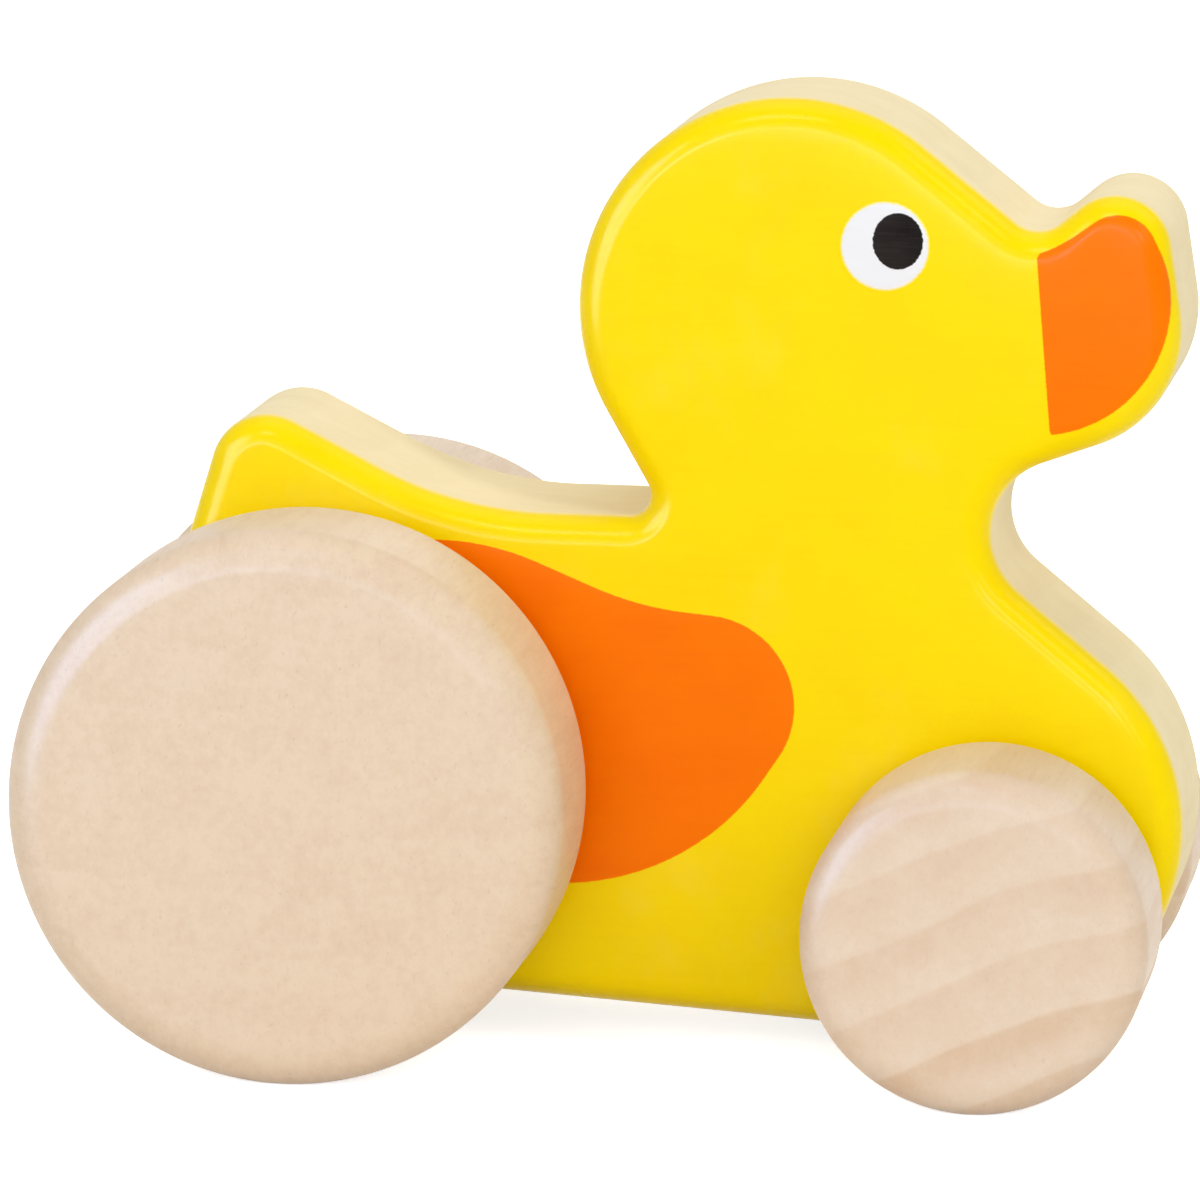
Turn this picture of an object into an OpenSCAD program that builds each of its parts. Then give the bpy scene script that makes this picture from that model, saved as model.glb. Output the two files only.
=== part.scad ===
// Wooden duck on wheels: a board cut to a duck's outline, painted on both faces,
// that rolls on two dowel axles with a pair of solid wooden disc wheels on each.
// Sizes are in millimetres. Along the toy they are measured from the rear axle, and heights from the floor.

/* [Body board] */
// Thickness of the board
board_thickness = 24; // [18:0.5:32]
// Width of the rounded edge, seen from the side
edge_width = 2.2; // [1:0.1:3]
// Depth of the rounded edge, measured from the painted face
edge_depth = 3; // [1:0.1:6]

/* [Rump, back and tail] */
// Height of the low part of the back
back_height = 50.9; // [46:0.1:58]
// Height of the belly under the rump
rump_clearance = 5.8; // [3:0.2:10]
// How far the rump reaches behind the rear axle
rump_reach = 17.3; // [14:0.1:22]
// Radius of the rump
rump_radius = 24.8; // [21:0.2:28]
// How far the tail reaches behind the rear axle
tail_reach = 11.2; // [8:0.1:15]
// How far the tail rises above the back
tail_rise = 8.5; // [5:0.1:12]
// Radius of the tail tip
tail_radius = 5.5; // [3.5:0.1:7]
// Radius of the hollow between the back and the tail
saddle_radius = 36; // [28:0.5:44]

/* [Breast and neck] */
// Height of the belly under the breast
breast_clearance = 2.6; // [1.4:0.2:8]
// How far the breast reaches ahead of the rear axle
breast_reach = 81; // [76:0.5:88]
// Radius of the breast
breast_radius = 20; // [16:0.2:24]
// Width of the neck at its narrowest
neck_width = 32; // [28:0.5:36]
// Radius of the corner between the neck and the back
nape_radius = 2; // [1:0.1:4]
// Radius of the hollow between the breast and the bill
throat_radius = 7; // [4:0.1:8]

/* [Head and bill] */
// How far the centre of the head lies ahead of the rear axle
head_forward = 43.5; // [38:0.5:50]
// Radius of the head
head_radius = 19.8; // [17:0.1:23]
// How far the bill stands out from the head
bill_length = 16.7; // [14:0.1:20]
// Radius of the bill's front and chin
chin_radius = 11.5; // [9:0.1:13]
// How far the middle of the chin lies below the middle of the head
chin_drop = 1; // [0:0.1:3]
// Radius of the bill's upturned tip
bill_tip_radius = 5.2; // [4:0.1:7]
// How far the middle of the tip lies above the middle of the head
bill_tip_rise = 6.3; // [5:0.1:8]
// How far the tip lies behind the front of the bill
bill_tip_setback = 1.1; // [0:0.1:3]
// Radius of the dip between the forehead and the bill
brow_radius = 3.3; // [2.5:0.1:5]

/* [Wheels and axles] */
// Diameter of the rear wheels
rear_wheel_diameter = 52; // [44:0.5:60]
// Diameter of the front wheels
front_wheel_diameter = 32; // [26:0.5:38]
// Thickness of every wheel
wheel_width = 20; // [14:0.5:26]
// Radius of the rounded edges of the wheels
wheel_edge_radius = 3; // [1:0.1:5]
// Free space between a wheel and the face of the board
wheel_gap = 2; // [1:0.1:5]
// Distance between the two axles
wheelbase = 63.9; // [58:0.1:68]
// Diameter of the dowel axles
axle_diameter = 8; // [6:0.1:10]
// Radial clearance of an axle in its bore through the board
axle_clearance = 0.08; // [0.05:0.01:0.1]
// Wood left between the blind bore of a wheel and its outer face
wheel_skin = 6; // [3:0.5:8]
// Room left for glue between an axle's end and the bottom of the bore
glue_room = 0.5; // [0.2:0.1:1.5]
// Chamfer on the ends of the axles
axle_chamfer = 0.6; // [0.2:0.1:1.5]

/* [Printed eye and bill] */
// Thickness of one printed layer
print_thickness = 0.15; // [0.1:0.05:0.4]
// Radius of the white of the eye
eye_radius = 4.1; // [3:0.1:5.5]
// How far the eye lies ahead of the middle of the head
eye_forward = 9.1; // [6:0.1:11]
// How far the eye lies above the middle of the head
eye_rise = 6.5; // [4:0.1:8]
// Radius of the pupil
pupil_radius = 2.5; // [1.5:0.1:2.7]
// Width of the white ring left where the pupil comes closest to the eye's rim
pupil_rim = 0.3; // [0.1:0.1:1]
// Direction in which the pupil looks, upwards from straight ahead, in degrees
pupil_look = 22.5; // [0:0.5:90]
// Yellow border between the bill's print and the rounded edge
bill_border = 0.1; // [0:0.1:1.5]
// Length of the bill's print, measured back from the front of the bill along its top
bill_print_length = 13.4; // [10:0.1:15]
// How much shorter the bill's print is at the bottom
bill_print_slant = 1.5; // [0:0.1:3]

/* [Printed wing] */
// How far the wing's highest point lies below the back
wing_drop = 2.4; // [1:0.1:6]
// Height of the wing
wing_height = 32.4; // [29:0.1:35]
// How far the wing reaches ahead of the rear axle
wing_reach = 44.8; // [40:0.1:50]
// Radius of the wing's long lower edge
wing_belly_radius = 23.7; // [20:0.1:26]
// How far the middle of that edge lies ahead of the rear axle
wing_belly_forward = 22.2; // [20:0.1:26]
// Radius of the wing's round front
wing_front_radius = 8.6; // [6:0.1:10]
// How far the middle of that front lies below the wing's highest point
wing_front_drop = 14.9; // [12:0.1:18]
// Radius of the hollow along the wing's top edge
wing_dip_radius = 30; // [22:0.5:38]
// Radius of the wing's shoulder
wing_shoulder_radius = 25; // [21:0.5:28]
// How far the top of the shoulder lies ahead of the rear axle
wing_shoulder_forward = 11; // [9:0.1:13]
// Radius of the wing's rear end
wing_rear_radius = 16; // [13:0.5:18]
// How far the middle of that end lies ahead of the rear axle
wing_rear_forward = 6; // [3:0.5:9]

/* [Hidden] */

// Sides of the toy: the duck's left is +Y
RIGHT = -1;
LEFT = 1;

// Colours of the paint, the prints and the two kinds of wood
YELLOW = [1.0, 0.86, 0.0];
ORANGE = [1.0, 0.47, 0.0];
WHITE = [0.95, 0.95, 0.95];
BLACK = [0.13, 0.12, 0.12];
WHEEL_WOOD = [0.92, 0.82, 0.7];
DOWEL_WOOD = [0.85, 0.72, 0.54];

// Fineness of the outline, in degrees, of its rounded edge, in steps, and of the turned surfaces
arc_step = 8;
edge_steps = 4;
$fn = 96;

// Room that keeps neighbouring arcs of an outline apart, for the straight edge between them
nape_room = 1.4;
tail_room = 1;
brow_head_room = 2.5;
brow_bill_room = 0.3;
wing_shoulder_room = 0.3;
wing_front_room = 0.1;

// Least width of print round the rear axle's bore, wherever the wing's outline lies
wing_bore_rim = 2;

// Extra length with which a cutter passes a face
cut_past = 1;

// Places that follow from the sizes above
half_thickness = board_thickness / 2;
rear_radius = rear_wheel_diameter / 2;
front_radius = front_wheel_diameter / 2;
axle_radius = axle_diameter / 2;
bore_radius = axle_radius + axle_clearance;
wheel_inner_face = half_thickness + wheel_gap;
wheel_bore_depth = wheel_width - wheel_skin;
axle_half_length = wheel_inner_face + wheel_bore_depth - glue_room;
head_height = back_height + head_radius;
bill_reach = head_forward + head_radius + bill_length;
wing_top = back_height - wing_drop;
eye_place = [head_forward + eye_forward, head_height + eye_rise];
pupil_place = eye_place + (eye_radius - pupil_radius - pupil_rim) * [cos(pupil_look), sin(pupil_look)];

// The frame stands on the floor, under the middle of the toy's length
x_first = min(-rear_radius, -rump_reach, -tail_reach);
x_last = max(breast_reach, bill_reach, wheelbase + front_radius);
x_middle = (x_first + x_last) / 2;

// Discs of the body's outline, each [forward, height, radius]; a hollow has a negative radius
breast = [breast_reach - breast_radius, breast_clearance + breast_radius, breast_radius];
chin = [bill_reach - chin_radius, head_height - chin_drop, chin_radius];
bill_tip = [bill_reach - bill_tip_setback - bill_tip_radius, head_height + bill_tip_rise, bill_tip_radius];
head = [head_forward, head_height, head_radius];
tail = [tail_radius - tail_reach, back_height + tail_rise - tail_radius, tail_radius];
rump = [rump_radius - rump_reach, rump_clearance + rump_radius, rump_radius];

// The brow is a hollow that lies on the head and the bill's tip, just clear of both
brow = hollow_on(head, brow_head_room, bill_tip, brow_bill_room, brow_radius);

// The nape's corner stands on the back, just clear of the head
nape_height = back_height + nape_radius;
nape_span = head_radius + nape_radius + nape_room;
nape = [head_forward - leg(nape_span, head_height - nape_height), nape_height, -nape_radius];

// The saddle's hollow touches the height of the back, just clear of the tail
saddle_height = back_height + saddle_radius;
saddle_span = saddle_radius + tail_radius + tail_room;
saddle = [tail[0] + leg(saddle_span, saddle_height - tail[1]), saddle_height, -saddle_radius];

// The throat is hollowed midway between the breast and the chin, as far in as the neck is wide
breast_top = breast[1] + breast_radius;
chin_bottom = chin[1] - chin_radius;
throat_round = min(throat_radius, (chin_bottom - breast_top) / 2);
throat_inside = nape[0] + nape_radius + neck_width;
throat = [throat_inside + throat_round, (breast_top + chin_bottom) / 2, -throat_round];

// The outline runs anticlockwise, seen from the right side
outline = belt([breast, throat, chin, bill_tip, brow, head, nape, saddle, tail, rump]);

// Discs of the wing's outline, which runs the same way
wing_front = [wing_reach - wing_front_radius, wing_top - wing_front_drop, wing_front_radius];
wing_bottom = wing_top - wing_height;
wing_belly_round = min(wing_belly_radius, radius_round(wing_front, wing_belly_forward, wing_bottom));
wing_belly = [wing_belly_forward, wing_bottom + wing_belly_round, wing_belly_round];
wing_shoulder = [wing_shoulder_forward, wing_top - wing_shoulder_radius, wing_shoulder_radius];
wing_rear = [wing_rear_forward, wing_top - wing_rear_radius, wing_rear_radius];
wing_dip = hollow_on(wing_shoulder, wing_shoulder_room, wing_front, wing_front_room, wing_dip_radius);
wing_outline = belt([wing_belly, wing_front, wing_dip, wing_shoulder, wing_rear]);

// Section through a rounded edge, from the face to the square of the board, each [depth, distance moved]
edge_section = [for (step = [0:edge_steps])
    let (angle = 90 * step / edge_steps)
    [edge_depth * (1 - cos(angle)), edge_width * (sin(angle) - 1)]];

// Second leg of a right triangle, from its longest side and its first leg
function leg(longest, first) = sqrt(max(0, longest * longest - first * first));

// Sine or cosine kept within its bounds
function limited(value) = max(-1, min(1, value));

// Hollow of a given radius that lies on top of two discs, with some room between it and each of them
function hollow_on(disc, disc_room, next, next_room, radius) =
    let (
        dx = next[0] - disc[0],
        dz = next[1] - disc[1],
        apart = norm([dx, dz]),
        near = disc[2] + radius + disc_room,
        far = next[2] + radius + next_room,
        corner = acos(limited((near * near + apart * apart - far * far) / (2 * near * apart))),
        angle = atan2(dz, dx) + corner
    )
    [disc[0] + near * cos(angle), disc[1] + near * sin(angle), -radius];

// Largest radius of a disc, resting on a given height, that still leaves another disc on its rim
function radius_round(disc, forward, height) =
    let (dx = disc[0] - forward, dz = disc[1] - height)
    (dx * dx + dz * dz - disc[2] * disc[2]) / (2 * (dz - disc[2]));

// Direction of the straight edge that runs from one disc to the next, touching both
function edge_direction(disc, next) =
    let (dx = next[0] - disc[0], dz = next[1] - disc[1])
    atan2(dz, dx) - asin(limited((next[2] - disc[2]) / norm([dx, dz])));

// Angle turned on a disc: leftwards round a full disc and rightwards round a hollow
function turned(disc, before, after) =
    let (way = sign(disc[2]), angle = way * (after - before))
    way * (angle - 360 * floor((angle + 60) / 360));

// Points round one disc of a belt, each [forward, height, outward forward, outward height]
function arc_points(discs, index) =
    let (
        count = len(discs),
        disc = discs[index],
        before = edge_direction(discs[(index + count - 1) % count], disc),
        after = edge_direction(disc, discs[(index + 1) % count]),
        turn = turned(disc, before, after),
        steps = max(2, ceil(abs(turn) / arc_step))
    )
    [for (step = [0:steps])
        let (way = before + turn * step / steps)
        [disc[0] + disc[2] * sin(way), disc[1] - disc[2] * cos(way), sin(way), -cos(way)]];

// Outline that runs round a ring of discs like a belt
function belt(discs) = [for (index = [0:len(discs) - 1]) each arc_points(discs, index)];

// Outline moved outwards by a distance, or inwards if that is negative
function moved(points, distance) =
    [for (point = points) [point[0] + distance * point[2], point[1] + distance * point[3]]];

// Whether a point lies inside a triangle whose corners run anticlockwise, or on its rim
function is_within(point, a, b, c) =
    cross(b - a, point - a) >= 0 && cross(c - b, point - b) >= 0 && cross(a - c, point - c) >= 0;

// Whether the corner at one place in a ring of points can be cut off without cutting any other point
function is_free_corner(points, ring, place) =
    let (
        count = len(ring),
        before = ring[(place + count - 1) % count],
        here = ring[place],
        after = ring[(place + 1) % count],
        a = points[before],
        b = points[here],
        c = points[after],
        others = [for (index = ring) if (index != before && index != here && index != after) index],
        in_the_way = [for (index = others) if (is_within(points[index], a, b, c)) index]
    )
    cross(b - a, c - b) > 0 && len(in_the_way) == 0;

// Places of corners in a ring that can be cut off together, because no two of them are neighbours
function free_corners(points, ring, place = 0) =
    place >= len(ring) - 1 ? []
    : is_free_corner(points, ring, place) ? concat([place], free_corners(points, ring, place + 2))
    : free_corners(points, ring, place + 1);

// Triangles that fill a ring of points, made by cutting off free corners until none is left
function filled(points, ring) =
    len(ring) < 3 ? []
    : len(ring) == 3 ? [ring]
    : let (
        count = len(ring),
        cut = free_corners(points, ring),
        kept = [for (place = [0:count - 1]) if (len(search(place, cut)) == 0) ring[place]]
    )
    concat(
        [for (place = cut) [ring[(place + count - 1) % count], ring[place], ring[(place + 1) % count]]],
        filled(points, kept)
    );

// Places something at a distance ahead of the rear axle and a height above the floor
module place_along(forward, height) {
    translate([forward - x_middle, 0, height])
        children();
}

// The board with its rounded edges, before it is drilled
module rounded_board() {
    count = len(outline);
    right_half = [for (edge = edge_section) [edge[0] - half_thickness, edge[1]]];
    left_half = [for (step = [edge_steps:-1:0]) [-right_half[step][0], right_half[step][1]]];
    section = concat(right_half, left_half);
    last_ring = (len(section) - 1) * count;
    shell = [for (edge = section) for (point = moved(outline, edge[1])) [point[0], edge[0], point[1]]];
    // Bands between neighbouring rings of the shell
    bands = [for (ring = [0:len(section) - 2]) for (index = [0:count - 1])
        let (next = (index + 1) % count, here = ring * count, there = here + count)
        each [[here + index, here + next, there + next], [here + index, there + next, there + index]]];
    // Flat faces, which are alike
    face = filled(moved(outline, edge_section[0][1]), [for (index = [0:count - 1]) index]);
    right_face = [for (corners = face) [corners[2], corners[1], corners[0]]];
    left_face = [for (corners = face) [for (corner = corners) last_ring + corner]];
    polyhedron(points = shell, faces = concat(bands, right_face, left_face));
}

// Bore for an axle, right through the board
module axle_bore() {
    rotate([90, 0, 0])
        cylinder(r = bore_radius, h = board_thickness + 2 * cut_past, center = true);
}

// Wooden board with a bore for each axle
module body() {
    color(YELLOW)
        difference() {
            place_along(0, 0)
                rounded_board();
            place_along(0, rear_radius)
                axle_bore();
            place_along(wheelbase, front_radius)
                axle_bore();
        }
}

// A printed layer on one face of the board, over as many layers as are given
module printed(side, layers_below) {
    inner = half_thickness + layers_below * print_thickness;
    outer = inner + print_thickness;
    translate([-x_middle, side == LEFT ? outer : -inner, 0])
        rotate([90, 0, 0])
            linear_extrude(print_thickness)
                children();
}

// Orange wing, cut away where the rear axle's bore comes out, with a rim round that
module wing(side) {
    color(ORANGE)
        printed(side, 0)
            difference() {
                union() {
                    polygon(moved(wing_outline, 0));
                    translate([0, rear_radius])
                        circle(r = bore_radius + wing_bore_rim);
                }
                translate([0, rear_radius])
                    circle(r = bore_radius);
            }
}

// Orange bill: the outline drawn in by its border, from a slanted line forwards
module bill(side) {
    print_rear = bill_reach - bill_print_length;
    top = bill_tip[1] + bill_tip_radius;
    front = bill_reach + cut_past;
    color(ORANGE)
        printed(side, 0)
            intersection() {
                polygon(moved(outline, -edge_width - bill_border));
                polygon([
                    [print_rear, top],
                    [print_rear + bill_print_slant, chin_bottom],
                    [front, chin_bottom],
                    [front, top]
                ]);
            }
}

// White of the eye
module eye(side) {
    color(WHITE)
        printed(side, 0)
            translate(eye_place)
                circle(r = eye_radius);
}

// Black pupil, printed over the white
module pupil(side) {
    color(BLACK)
        printed(side, 1)
            translate(pupil_place)
                circle(r = pupil_radius);
}

// Dowel with chamfered ends that joins a pair of wheels through the board
module axle() {
    color(DOWEL_WOOD)
        rotate([90, 0, 0])
            rotate_extrude()
                polygon([
                    [0, -axle_half_length],
                    [axle_radius - axle_chamfer, -axle_half_length],
                    [axle_radius, axle_chamfer - axle_half_length],
                    [axle_radius, axle_half_length - axle_chamfer],
                    [axle_radius - axle_chamfer, axle_half_length],
                    [0, axle_half_length]
                ]);
}

// Half section of a solid wheel with rounded edges, from its axis outwards
module wheel_section(radius) {
    square([radius - wheel_edge_radius, wheel_width]);
    translate([0, wheel_edge_radius])
        square([radius, wheel_width - 2 * wheel_edge_radius]);
    for (height = [wheel_edge_radius, wheel_width - wheel_edge_radius])
        translate([radius - wheel_edge_radius, height])
            circle(r = wheel_edge_radius);
}

// Solid disc wheel with a blind bore in its inner face, standing out from one side of the board
module wheel(side, radius) {
    color(WHEEL_WOOD)
        rotate([-90 * side, 0, 0])
            translate([0, 0, wheel_inner_face])
                difference() {
                    rotate_extrude()
                        wheel_section(radius);
                    translate([0, 0, -cut_past])
                        cylinder(r = axle_radius, h = wheel_bore_depth + cut_past);
                }
}

// Axle and wheels under the rump
module rear_axle() {
    place_along(0, rear_radius)
        axle();
}

module rear_wheel(side) {
    place_along(0, rear_radius)
        wheel(side, rear_radius);
}

// Axle and wheels under the breast
module front_axle() {
    place_along(wheelbase, front_radius)
        axle();
}

module front_wheel(side) {
    place_along(wheelbase, front_radius)
        wheel(side, front_radius);
}

body();
wing(RIGHT);  // wing_right
wing(LEFT);  // wing_left
bill(RIGHT);  // bill_right
bill(LEFT);  // bill_left
eye(RIGHT);  // eye_right
eye(LEFT);  // eye_left
pupil(RIGHT);  // pupil_right
pupil(LEFT);  // pupil_left
rear_axle();
rear_wheel(RIGHT);  // rear_wheel_right
rear_wheel(LEFT);  // rear_wheel_left
front_axle();
front_wheel(RIGHT);  // front_wheel_right
front_wheel(LEFT);  // front_wheel_left
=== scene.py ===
"""Wooden duck on wheels: the looks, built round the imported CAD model.

The board, its prints and its wheels are numpy surfaces that repeat the CAD outlines with finer edges.
Sizes are in millimetres. Along the toy they are measured from the rear axle, and heights from the floor.
"""

import logging
import math
from dataclasses import dataclass, field
from enum import Enum
from typing import Optional, Union

import bpy
import numpy as np
from mathutils import Matrix, Quaternion, Vector
from mathutils.geometry import delaunay_2d_cdt


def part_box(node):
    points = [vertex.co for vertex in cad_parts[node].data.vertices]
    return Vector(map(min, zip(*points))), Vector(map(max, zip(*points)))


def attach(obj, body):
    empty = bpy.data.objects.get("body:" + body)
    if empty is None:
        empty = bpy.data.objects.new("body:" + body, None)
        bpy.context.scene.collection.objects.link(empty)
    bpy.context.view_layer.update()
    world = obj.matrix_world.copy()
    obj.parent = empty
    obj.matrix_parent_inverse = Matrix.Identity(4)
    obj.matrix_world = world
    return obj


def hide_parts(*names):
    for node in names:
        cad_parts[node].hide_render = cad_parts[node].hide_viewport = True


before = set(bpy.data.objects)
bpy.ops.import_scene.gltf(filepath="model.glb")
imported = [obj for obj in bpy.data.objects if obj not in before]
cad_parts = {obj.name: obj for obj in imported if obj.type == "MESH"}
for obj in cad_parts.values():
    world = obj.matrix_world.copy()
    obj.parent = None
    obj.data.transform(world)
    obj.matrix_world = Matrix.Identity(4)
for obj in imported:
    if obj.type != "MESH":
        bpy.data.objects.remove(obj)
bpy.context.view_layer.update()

LOG = logging.getLogger("duck")

MM = 0.001

Array = np.ndarray
Socket = bpy.types.NodeSocket
Value = Union[float, tuple, Socket]
Colour = tuple[float, float, float, float]


class Side(Enum):
    """Side of the duck, with the sign of its Y direction."""

    RIGHT = -1
    LEFT = 1

    @property
    def label(self) -> str:
        """Ending of the names of this side's pieces."""
        return self.name.lower()


class Slot(Enum):
    """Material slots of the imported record."""

    PAINTED_WOOD = "painted_wood"
    WHEEL_WOOD = "wheel_wood"
    DOWEL_WOOD = "dowel_wood"
    ORANGE_PRINT = "orange_print"
    WHITE_PRINT = "white_print"
    BLACK_PRINT = "black_print"


class Body(Enum):
    """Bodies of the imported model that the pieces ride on."""

    DUCK = "duck"
    REAR_WHEELSET = "rear_wheelset"
    FRONT_WHEELSET = "front_wheelset"


@dataclass(frozen=True)
class NodeBox:
    """Box of one CAD node at rest, in millimetres."""

    low: tuple[float, float, float]
    high: tuple[float, float, float]

    @classmethod
    def of(cls, node: str) -> "NodeBox":
        """Reads the box of a CAD node from the frame.

        Args:
            node: Name of the node.

        Returns:
            The node's box in millimetres.
        """
        low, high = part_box(node)
        return cls(tuple(value / MM for value in low), tuple(value / MM for value in high))

    def middle(self, axis: int) -> float:
        """Middle of the box along one axis."""
        return (self.low[axis] + self.high[axis]) / 2

    def half(self, axis: int) -> float:
        """Half of the box's length along one axis."""
        return (self.high[axis] - self.low[axis]) / 2


# Outlines and surfaces


@dataclass(frozen=True)
class Disc:
    """Disc of a belt in the side view; a hollow has a negative radius."""

    x: float
    z: float
    radius: float

    def direction_to(self, following: "Disc") -> float:
        """Direction of the straight edge that runs from this disc to the following one, touching both.

        Args:
            following: Next disc of the belt.

        Returns:
            Direction in radians, upwards from straight ahead.
        """
        dx, dz = following.x - self.x, following.z - self.z
        growth = (following.radius - self.radius) / math.hypot(dx, dz)
        return math.atan2(dz, dx) - math.asin(max(-1.0, min(1.0, growth)))

    def hollow_with(self, room: float, other: "Disc", other_room: float, radius: float) -> "Disc":
        """Hollow that lies on top of this disc and another one.

        Its centre is the corner of a triangle whose other corners are the centres of the discs.

        Args:
            room: Distance left between the hollow and this disc.
            other: Other disc that the hollow lies on.
            other_room: Distance left between the hollow and the other disc.
            radius: Radius of the hollow.

        Returns:
            The hollow, with a negative radius.
        """
        dx, dz = other.x - self.x, other.z - self.z
        apart = math.hypot(dx, dz)
        near = self.radius + radius + room
        far = other.radius + radius + other_room
        corner = math.acos((near * near + apart * apart - far * far) / (2 * near * apart))
        angle = math.atan2(dz, dx) + corner
        return Disc(self.x + near * math.cos(angle), self.z + near * math.sin(angle), -radius)


@dataclass(frozen=True)
class Belt:
    """Closed outline that runs anticlockwise, seen from the right, round a ring of discs."""

    discs: tuple[Disc, ...]
    spacing: float = 0.4
    finest_turn: float = math.radians(4)
    largest_return: float = math.radians(60)

    def sampled(self) -> tuple[Array, Array]:
        """Points of the outline and their outward directions.

        A disc adds the arc centre + radius * (sin w, -cos w), for headings w between those of the
        straight edges on either side of it. A turn the wrong way that is larger than the largest return
        is a turn the long way round. A straight edge adds evenly spaced points.

        Returns:
            Points and outward unit directions, each with a row [x, z] per point.
        """
        count = len(self.discs)
        points, outwards = [], []
        for index, disc in enumerate(self.discs):
            following = self.discs[(index + 1) % count]
            before = self.discs[index - 1].direction_to(disc)
            after = disc.direction_to(following)
            way = math.copysign(1.0, disc.radius)
            angle = way * (after - before)
            turn = way * (angle - math.tau * math.floor((angle + self.largest_return) / math.tau))
            arc_steps = math.ceil(abs(turn * disc.radius) / self.spacing)
            steps = max(arc_steps, math.ceil(abs(turn) / self.finest_turn), 2)
            heading = before + turn * np.linspace(0, 1, steps + 1)
            outward = np.stack([np.sin(heading), -np.cos(heading)], axis=1)
            arc = np.array([disc.x, disc.z]) + disc.radius * outward
            edge_end = np.array([following.x, following.z]) + following.radius * outward[-1]
            edge_steps = max(1, math.ceil(np.linalg.norm(edge_end - arc[-1]) / self.spacing))
            share = np.linspace(0, 1, edge_steps + 1)[1:-1, None]
            points += [arc, arc[-1] + share * (edge_end - arc[-1])]
            outwards += [outward, np.repeat(outward[-1:], len(share), axis=0)]
        return np.concatenate(points), np.concatenate(outwards)


def ring_round(x: float, z: float, radius: float, count: int) -> Array:
    """Evenly spaced points round a circle, anticlockwise.

    Args:
        x: Middle of the circle along the toy.
        z: Height of the middle.
        radius: Radius of the circle.
        count: Number of points.

    Returns:
        Array with a row [x, z] per point.
    """
    turn = np.arange(count) * math.tau / count
    return np.stack([x + radius * np.cos(turn), z + radius * np.sin(turn)], axis=1)


def distance_to_ring(points: Array, ring: Array, block_size: int = 500) -> Array:
    """Distance of points from a closed ring of straight edges.

    For every edge the nearest point is start + t * edge, with t kept between 0 and 1.

    Args:
        points: Array with a row [x, z] per point.
        ring: Corners of the ring.
        block_size: Number of points that are worked out together.

    Returns:
        Distance of each point.
    """
    edge = np.roll(ring, -1, axis=0) - ring
    square = (edge ** 2).sum(axis=1)
    nearest = []
    for block in np.array_split(points, max(1, len(points) // block_size)):
        offset = block[:, None, :] - ring
        share = np.clip((offset * edge).sum(axis=2) / square, 0, 1)
        nearest.append(np.sqrt(((offset - share[..., None] * edge) ** 2).sum(axis=2)).min(axis=1))
    return np.concatenate(nearest)


def is_inside(points: Array, ring: Array) -> Array:
    """Whether points lie inside a closed ring: a level ray from them crosses it an odd number of times.

    Args:
        points: Array with a row [x, z] per point.
        ring: Corners of the ring.

    Returns:
        True for each point inside.
    """
    start, end = ring, np.roll(ring, -1, axis=0)
    rise = end[:, 1] - start[:, 1]
    level = points[:, 1, None]
    spans = (start[:, 1] > level) != (end[:, 1] > level)
    slope = (end[:, 0] - start[:, 0]) / np.where(rise == 0, 1, rise)
    crossing = start[:, 0] + (level - start[:, 1]) * slope
    return (spans & (points[:, 0, None] < crossing)).sum(axis=1) % 2 == 1


def filled(rings: list[Array], spacing: float, ring_room: float = 0.6) -> tuple[Array, Array]:
    """Fills the space inside the first ring and outside the others with triangles.

    Points between the rings lie on a grid whose odd rows are half a step out of line.

    Args:
        rings: Outer ring, then the rings of any holes.
        spacing: Distance between the points inside.
        ring_room: Least distance of those points from a ring, as a share of the spacing.

    Returns:
        Points, the rings' own ones first, and triangles that run anticlockwise.
    """
    low, high = rings[0].min(axis=0), rings[0].max(axis=0)
    row_height = spacing * math.sqrt(3) / 2
    across, up = np.meshgrid(np.arange(low[0], high[0], spacing), np.arange(low[1], high[1], row_height))
    across = across + spacing / 2 * (np.arange(len(across)) % 2)[:, None]
    grid = np.stack([across.ravel(), up.ravel()], axis=1)
    keep = is_inside(grid, rings[0])
    for hole in rings[1:]:
        keep &= ~is_inside(grid, hole)
    grid = grid[keep]
    for ring in rings:
        grid = grid[distance_to_ring(grid, ring) > spacing * ring_room]
    points = np.concatenate([*rings, grid])
    edges, first = [], 0
    for ring in rings:
        index = np.arange(len(ring))
        edges += np.stack([first + index, first + (index + 1) % len(ring)], axis=1).tolist()
        first += len(ring)
    corners, _, triangles, *_ = delaunay_2d_cdt([Vector(row) for row in points.tolist()], edges, [], 1, 1e-6)
    triangles = np.array(triangles)
    if len(corners) != len(points):
        raise ValueError("two points of a filled outline coincide")
    for hole in rings[1:]:
        triangles = triangles[~is_inside(points[triangles].mean(axis=1), hole)]
    a, b, c = (points[triangles[:, corner]] for corner in range(3))
    area = (b - a)[:, 0] * (c - a)[:, 1] - (b - a)[:, 1] * (c - a)[:, 0]
    triangles[area < 0] = triangles[area < 0][:, ::-1]
    return points, triangles


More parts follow.
